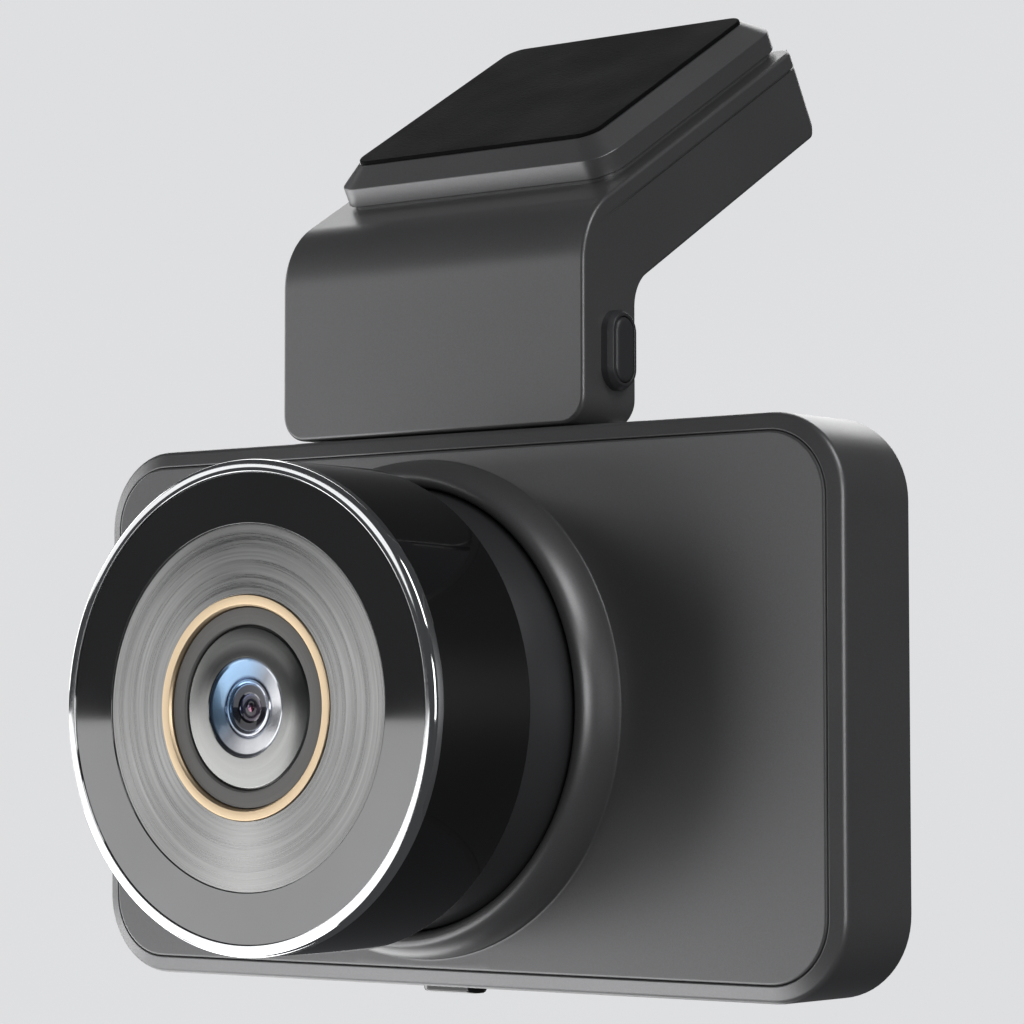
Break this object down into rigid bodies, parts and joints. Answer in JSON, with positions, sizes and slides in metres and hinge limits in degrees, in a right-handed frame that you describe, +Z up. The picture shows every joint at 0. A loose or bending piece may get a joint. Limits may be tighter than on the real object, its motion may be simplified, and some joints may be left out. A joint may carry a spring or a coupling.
{
  "type": "dash camera",
  "caption": "Windscreen dash camera: flat screen body with a tilting lens barrel, hung on a bent bracket with an adhesive pad, side button and bottom key.",
  "frame": {"origin": "middle of the adhesive pad's face, where it meets the windscreen", "axes": "+Z up, the lens looks along -Y, +X to the right as seen from the front with the side button on it"},
  "size_m": [0.0924, 0.0669, 0.0997],
  "materials": {
    "shell_plastic": "fine satin moulding",
    "key_plastic": "satin",
    "gloss_black": "high gloss",
    "adhesive_foam": "matt foam",
    "screw_steel": "blackened steel",
    "sheet_metal": "tinned sheet",
    "chrome_trim": "polished",
    "brushed_alloy": "spun, with concentric lines",
    "gold_alloy": "anodised champagne gold",
    "contact_gold": "gold plated",
    "circuit_board": "solder mask",
    "chip_black": "moulded epoxy",
    "ceramic": "fired ceramic",
    "screen_glass": "black-backed cover glass",
    "display_panel": "switched-off display",
    "lens_glass": "coated glass",
    "lens_metal": "black anodised",
    "cell_foil": "foil pouch",
    "ribbon_film": "polyimide film"
  },
  "bodies": {
    "bracket": {"bracket_shell": "shell_plastic", "bracket_cover": "shell_plastic", "bracket_screws": "screw_steel", "pad_base": "shell_plastic", "pad_screws": "screw_steel", "adhesive_pad": "adhesive_foam", "button_collar": "shell_plastic", "side_switch": "sheet_metal", "stem_board": "circuit_board", "usb_socket": "sheet_metal", "contact_block": "chip_black", "contact_pins": "contact_gold", "holding_magnets": "sheet_metal", "gps_board": "circuit_board", "gps_antenna": "ceramic", "gps_screws": "screw_steel", "bracket_ribbon": "ribbon_film"},
    "side_key": {"side_button": "key_plastic"},
    "camera": {"main_housing": "shell_plastic", "front_panel": "shell_plastic", "screen_glass": "screen_glass", "display_gasket": "adhesive_foam", "display_module": "display_panel", "display_frame": "sheet_metal", "frame_screws": "screw_steel", "main_board": "circuit_board", "board_screws": "screw_steel", "processor": "chip_black", "thermal_pad": "adhesive_foam", "heat_spreader": "sheet_metal", "shield_can": "sheet_metal", "backup_cell": "cell_foil", "speaker": "chip_black", "microphone": "sheet_metal", "wifi_antenna": "ribbon_film", "card_socket": "sheet_metal", "power_switch": "sheet_metal", "contact_pads": "contact_gold", "magnet_keepers": "sheet_metal", "sensor_ribbon": "ribbon_film"},
    "card": {"memory_card": "chip_black"},
    "power_button": {"power_key": "key_plastic"},
    "turret": {"barrel_shell": "gloss_black", "turret_neck": "gloss_black", "turret_screws": "screw_steel", "pivot_pins": "screw_steel", "chrome_ring": "chrome_trim", "bezel_ring": "gloss_black", "brushed_disc": "brushed_alloy", "gold_ring": "gold_alloy", "lens_retainer": "lens_metal", "lens_baffle": "lens_metal", "front_lens": "lens_glass", "lens_tube": "lens_metal", "inner_lenses": "lens_glass", "lens_holder": "chip_black", "ir_filter": "lens_glass", "image_sensor": "chip_black", "sensor_board": "circuit_board"}
  },
  "joints": [
    {"name": "camera_slide", "type": "slide", "parent": "bracket", "child": "camera", "axis": [0, 0, -1], "range_m": [0, 0.008]},
    {"name": "side_key_press", "type": "slide", "parent": "bracket", "child": "side_key", "axis": [-1, 0, 0], "range_m": [0, 0.0004], "stiffness_N_per_m": 500},
    {"name": "power_key_press", "type": "slide", "parent": "camera", "child": "power_button", "axis": [0, 0, 1], "range_m": [0, 0.0004], "stiffness_N_per_m": 500},
    {"name": "card_slide", "type": "slide", "parent": "camera", "child": "card", "axis": [-1, 0, 0], "range_m": [0, 0.013]},
    {"name": "turret_tilt", "type": "hinge", "parent": "camera", "child": "turret", "pos_m": [0, -0.02264, -0.06411], "axis": [1, 0, 0], "range_deg": [-10, 10]}
  ]
}
